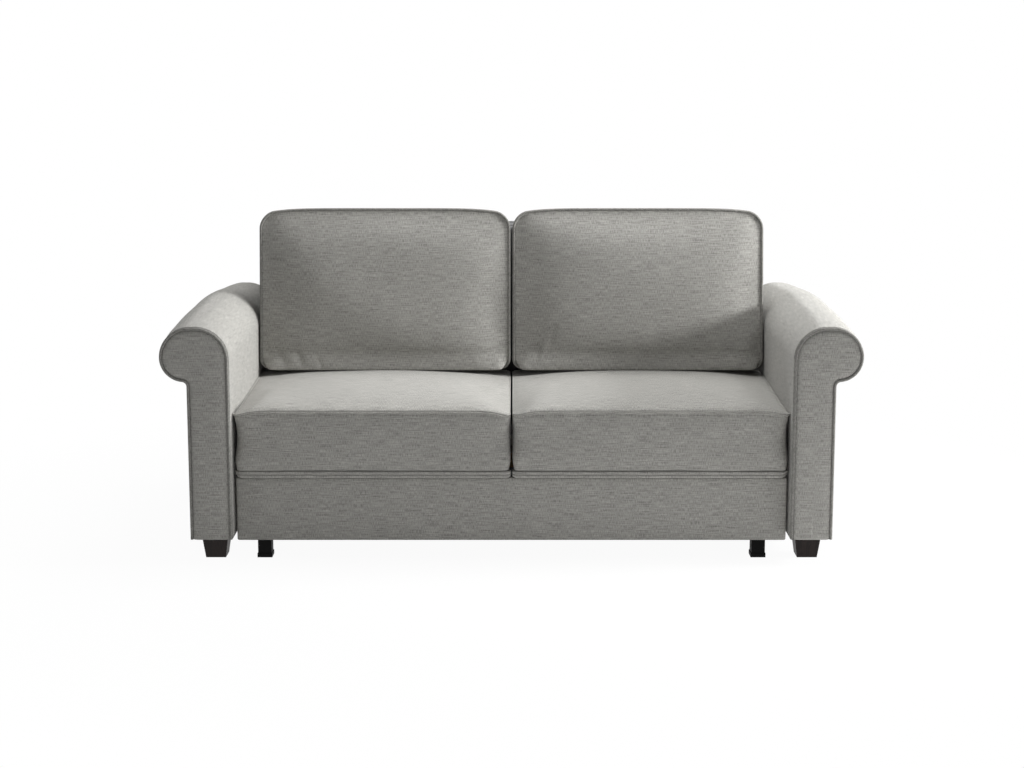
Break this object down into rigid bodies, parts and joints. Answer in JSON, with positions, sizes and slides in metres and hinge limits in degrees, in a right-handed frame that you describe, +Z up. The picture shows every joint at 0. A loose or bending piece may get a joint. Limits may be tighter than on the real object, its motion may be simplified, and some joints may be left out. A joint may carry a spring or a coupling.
{
  "type": "sleeper sofa with pull out bed",
  "caption": "Two-seat rolled-arm sofa in grey slub weave with piped cushions; the seat rolls forward on front legs and rear rollers and draws out a folding bed.",
  "frame": {"origin": "on the floor under the middle of the closed sofa's box", "axes": "+Z up, -Y to the front where the seat rolls out, +X to the right arm as seen in the picture"},
  "size_m": [2.03, 1.02, 0.9855],
  "materials": {
    "grey_weave": "matte",
    "grey_piping": "matte",
    "dark_wood": "satin",
    "black_steel": "satin",
    "black_plastic": "matte",
    "grey_plastic": "matte",
    "birch_slat": "satin",
    "mattress_ticking": "matte",
    "roller_nylon": "satin",
    "plywood": "matte",
    "zinc_steel": "satin",
    "grey_steel": "satin"
  },
  "bodies": {
    "carcass": {"back_bolts": "zinc_steel", "back_cover": "grey_weave", "back_frame": "plywood", "bracket_bolts": "zinc_steel", "foot_bolts": "zinc_steel", "front_feet": "dark_wood", "head_pivot_pins": "zinc_steel", "left_arm_cover": "grey_weave", "left_arm_facing": "grey_weave", "left_arm_frame": "plywood", "left_arm_piping": "grey_piping", "left_hinge_bracket": "grey_steel", "rear_feet": "dark_wood", "rear_stretcher": "plywood", "right_arm_cover": "grey_weave", "right_arm_facing": "grey_weave", "right_arm_frame": "plywood", "right_arm_piping": "grey_piping", "right_hinge_bracket": "grey_steel"},
    "head_section": {"head_cross_tubes": "grey_steel", "head_fold_pins": "zinc_steel", "head_hinge_plates": "grey_steel", "head_leg_pins": "zinc_steel", "head_mattress": "mattress_ticking", "head_side_rails": "grey_steel", "head_slat_caps": "grey_plastic", "head_slats": "birch_slat"},
    "middle_section": {"middle_cross_tubes": "grey_steel", "middle_hinge_plates": "grey_steel", "middle_mattress": "mattress_ticking", "middle_side_rails": "grey_steel", "middle_slat_caps": "grey_plastic", "middle_slats": "birch_slat"},
    "support_leg": {"support_leg_axle": "grey_steel", "support_leg_crossbar": "grey_steel", "support_leg_feet": "black_plastic", "support_leg_posts": "grey_steel"},
    "seat_section": {"base_panel": "grey_weave", "front_leg_caps": "black_plastic", "left_front_leg": "black_steel", "left_hinge_arm": "grey_steel", "left_roller_fork": "grey_steel", "left_seat_cushion": "grey_weave", "left_seat_lip": "grey_weave", "right_front_leg": "black_steel", "right_hinge_arm": "grey_steel", "right_roller_fork": "grey_steel", "right_seat_cushion": "grey_weave", "right_seat_lip": "grey_weave", "roller_axles": "zinc_steel", "seat_cross_tubes": "grey_steel", "seat_pivot_pins": "zinc_steel", "seat_side_rails": "grey_steel", "seat_slats": "birch_slat"},
    "left_roller": {"left_roller": "roller_nylon"},
    "left_back_cushion": {"left_back_cushion": "grey_weave", "left_back_cushion_piping": "grey_piping"},
    "right_roller": {"right_roller": "roller_nylon"},
    "right_back_cushion": {"right_back_cushion": "grey_weave", "right_back_cushion_piping": "grey_piping"}
  },
  "joints": [
    {"name": "bed_fold", "type": "hinge", "parent": "carcass", "child": "head_section", "pos_m": [0, 0.36, 0.34], "axis": [1, 0, 0], "range_deg": [0, 89]},
    {"name": "middle_fold", "type": "hinge", "parent": "head_section", "child": "middle_section", "pos_m": [0, 0.34997, 0.91491], "axis": [1, 0, 0], "range_deg": [-178, 0]},
    {"name": "seat_fold", "type": "hinge", "parent": "middle_section", "child": "seat_section", "pos_m": [0, 0.33993, 0.34], "axis": [1, 0, 0], "range_deg": [0, 89]},
    {"name": "support_leg_swing", "type": "hinge", "parent": "head_section", "child": "support_leg", "pos_m": [0, 0.36475, 0.87016], "axis": [1, 0, 0], "range_deg": [-89, 0]},
    {"name": "left_roller_spin", "type": "hinge", "parent": "seat_section", "child": "left_roller", "pos_m": [-0.732, 0.18493, 0.03], "axis": [1, 0, 0], "continuous": true},
    {"name": "left_back_cushion_lift", "type": "slide", "parent": "seat_section", "child": "left_back_cushion", "axis": [0, 0, 1], "range_m": [0, 0.35]},
    {"name": "right_roller_spin", "type": "hinge", "parent": "seat_section", "child": "right_roller", "pos_m": [0.732, 0.18493, 0.03], "axis": [1, 0, 0], "continuous": true},
    {"name": "right_back_cushion_lift", "type": "slide", "parent": "seat_section", "child": "right_back_cushion", "axis": [0, 0, 1], "range_m": [0, 0.35]}
  ],
  "couplings": [
    {"joint": "middle_fold", "follows": "bed_fold", "ratio": -2},
    {"joint": "seat_fold", "follows": "bed_fold", "ratio": 1},
    {"joint": "support_leg_swing", "follows": "bed_fold", "ratio": -1}
  ]
}
